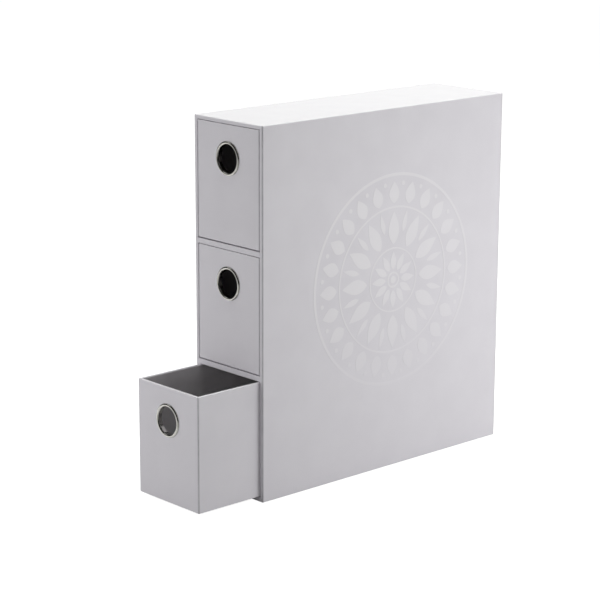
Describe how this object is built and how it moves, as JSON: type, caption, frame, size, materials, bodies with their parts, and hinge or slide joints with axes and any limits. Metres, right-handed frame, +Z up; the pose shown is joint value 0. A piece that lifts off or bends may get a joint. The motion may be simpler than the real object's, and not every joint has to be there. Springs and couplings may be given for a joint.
{
  "type": "card storage box",
  "caption": "Tall narrow storage box for playing or trading cards: white papered board casing holding open drawers one above the other, each with a dark paper lining and a metal finger ring.",
  "frame": {"origin": "centre of the casing's underside, where it rests", "axes": "+X to the right seen from the front, +Y from the front (drawer fronts) to the back, +Z up"},
  "size_m": [0.091, 0.377, 0.3398],
  "materials": {
    "white_paper": "smooth matt laminated",
    "dark_lining": "matt uncoated",
    "greyboard": "matt, cut edges",
    "ring_metal": "polished nickel plate"
  },
  "bodies": {
    "casing": {"casing_side_left": "greyboard", "casing_side_right": "greyboard", "casing_top": "greyboard", "casing_base": "greyboard", "casing_back": "greyboard", "shelf_under_middle_lower_ply": "greyboard", "shelf_under_middle_upper_ply": "greyboard", "shelf_under_middle_edge_strip": "white_paper", "shelf_under_upper_lower_ply": "greyboard", "shelf_under_upper_upper_ply": "greyboard", "shelf_under_upper_edge_strip": "white_paper", "casing_wrap": "white_paper", "back_sheet": "white_paper", "base_sheet": "white_paper", "compartment_lining_lower": "dark_lining", "compartment_lining_middle": "dark_lining", "compartment_lining_upper": "dark_lining"},
    "drawer_lower": {"drawer_lower_front": "greyboard", "drawer_lower_back": "greyboard", "drawer_lower_side_left": "greyboard", "drawer_lower_side_right": "greyboard", "drawer_lower_base": "greyboard", "drawer_lower_wrap": "white_paper", "drawer_lower_lining": "dark_lining", "drawer_lower_finger_ring": "ring_metal", "drawer_lower_ring_washer": "ring_metal"},
    "drawer_middle": {"drawer_middle_front": "greyboard", "drawer_middle_back": "greyboard", "drawer_middle_side_left": "greyboard", "drawer_middle_side_right": "greyboard", "drawer_middle_base": "greyboard", "drawer_middle_wrap": "white_paper", "drawer_middle_lining": "dark_lining", "drawer_middle_finger_ring": "ring_metal", "drawer_middle_ring_washer": "ring_metal"},
    "drawer_upper": {"drawer_upper_front": "greyboard", "drawer_upper_back": "greyboard", "drawer_upper_side_left": "greyboard", "drawer_upper_side_right": "greyboard", "drawer_upper_base": "greyboard", "drawer_upper_wrap": "white_paper", "drawer_upper_lining": "dark_lining", "drawer_upper_finger_ring": "ring_metal", "drawer_upper_ring_washer": "ring_metal"}
  },
  "joints": [
    {"name": "drawer_lower_slide", "type": "slide", "parent": "casing", "child": "drawer_lower", "axis": [0, -1, 0], "range_m": [-0.0706, 0.2294]},
    {"name": "drawer_middle_slide", "type": "slide", "parent": "casing", "child": "drawer_middle", "axis": [0, -1, 0], "range_m": [0, 0.3]},
    {"name": "drawer_upper_slide", "type": "slide", "parent": "casing", "child": "drawer_upper", "axis": [0, -1, 0], "range_m": [0, 0.3]}
  ]
}
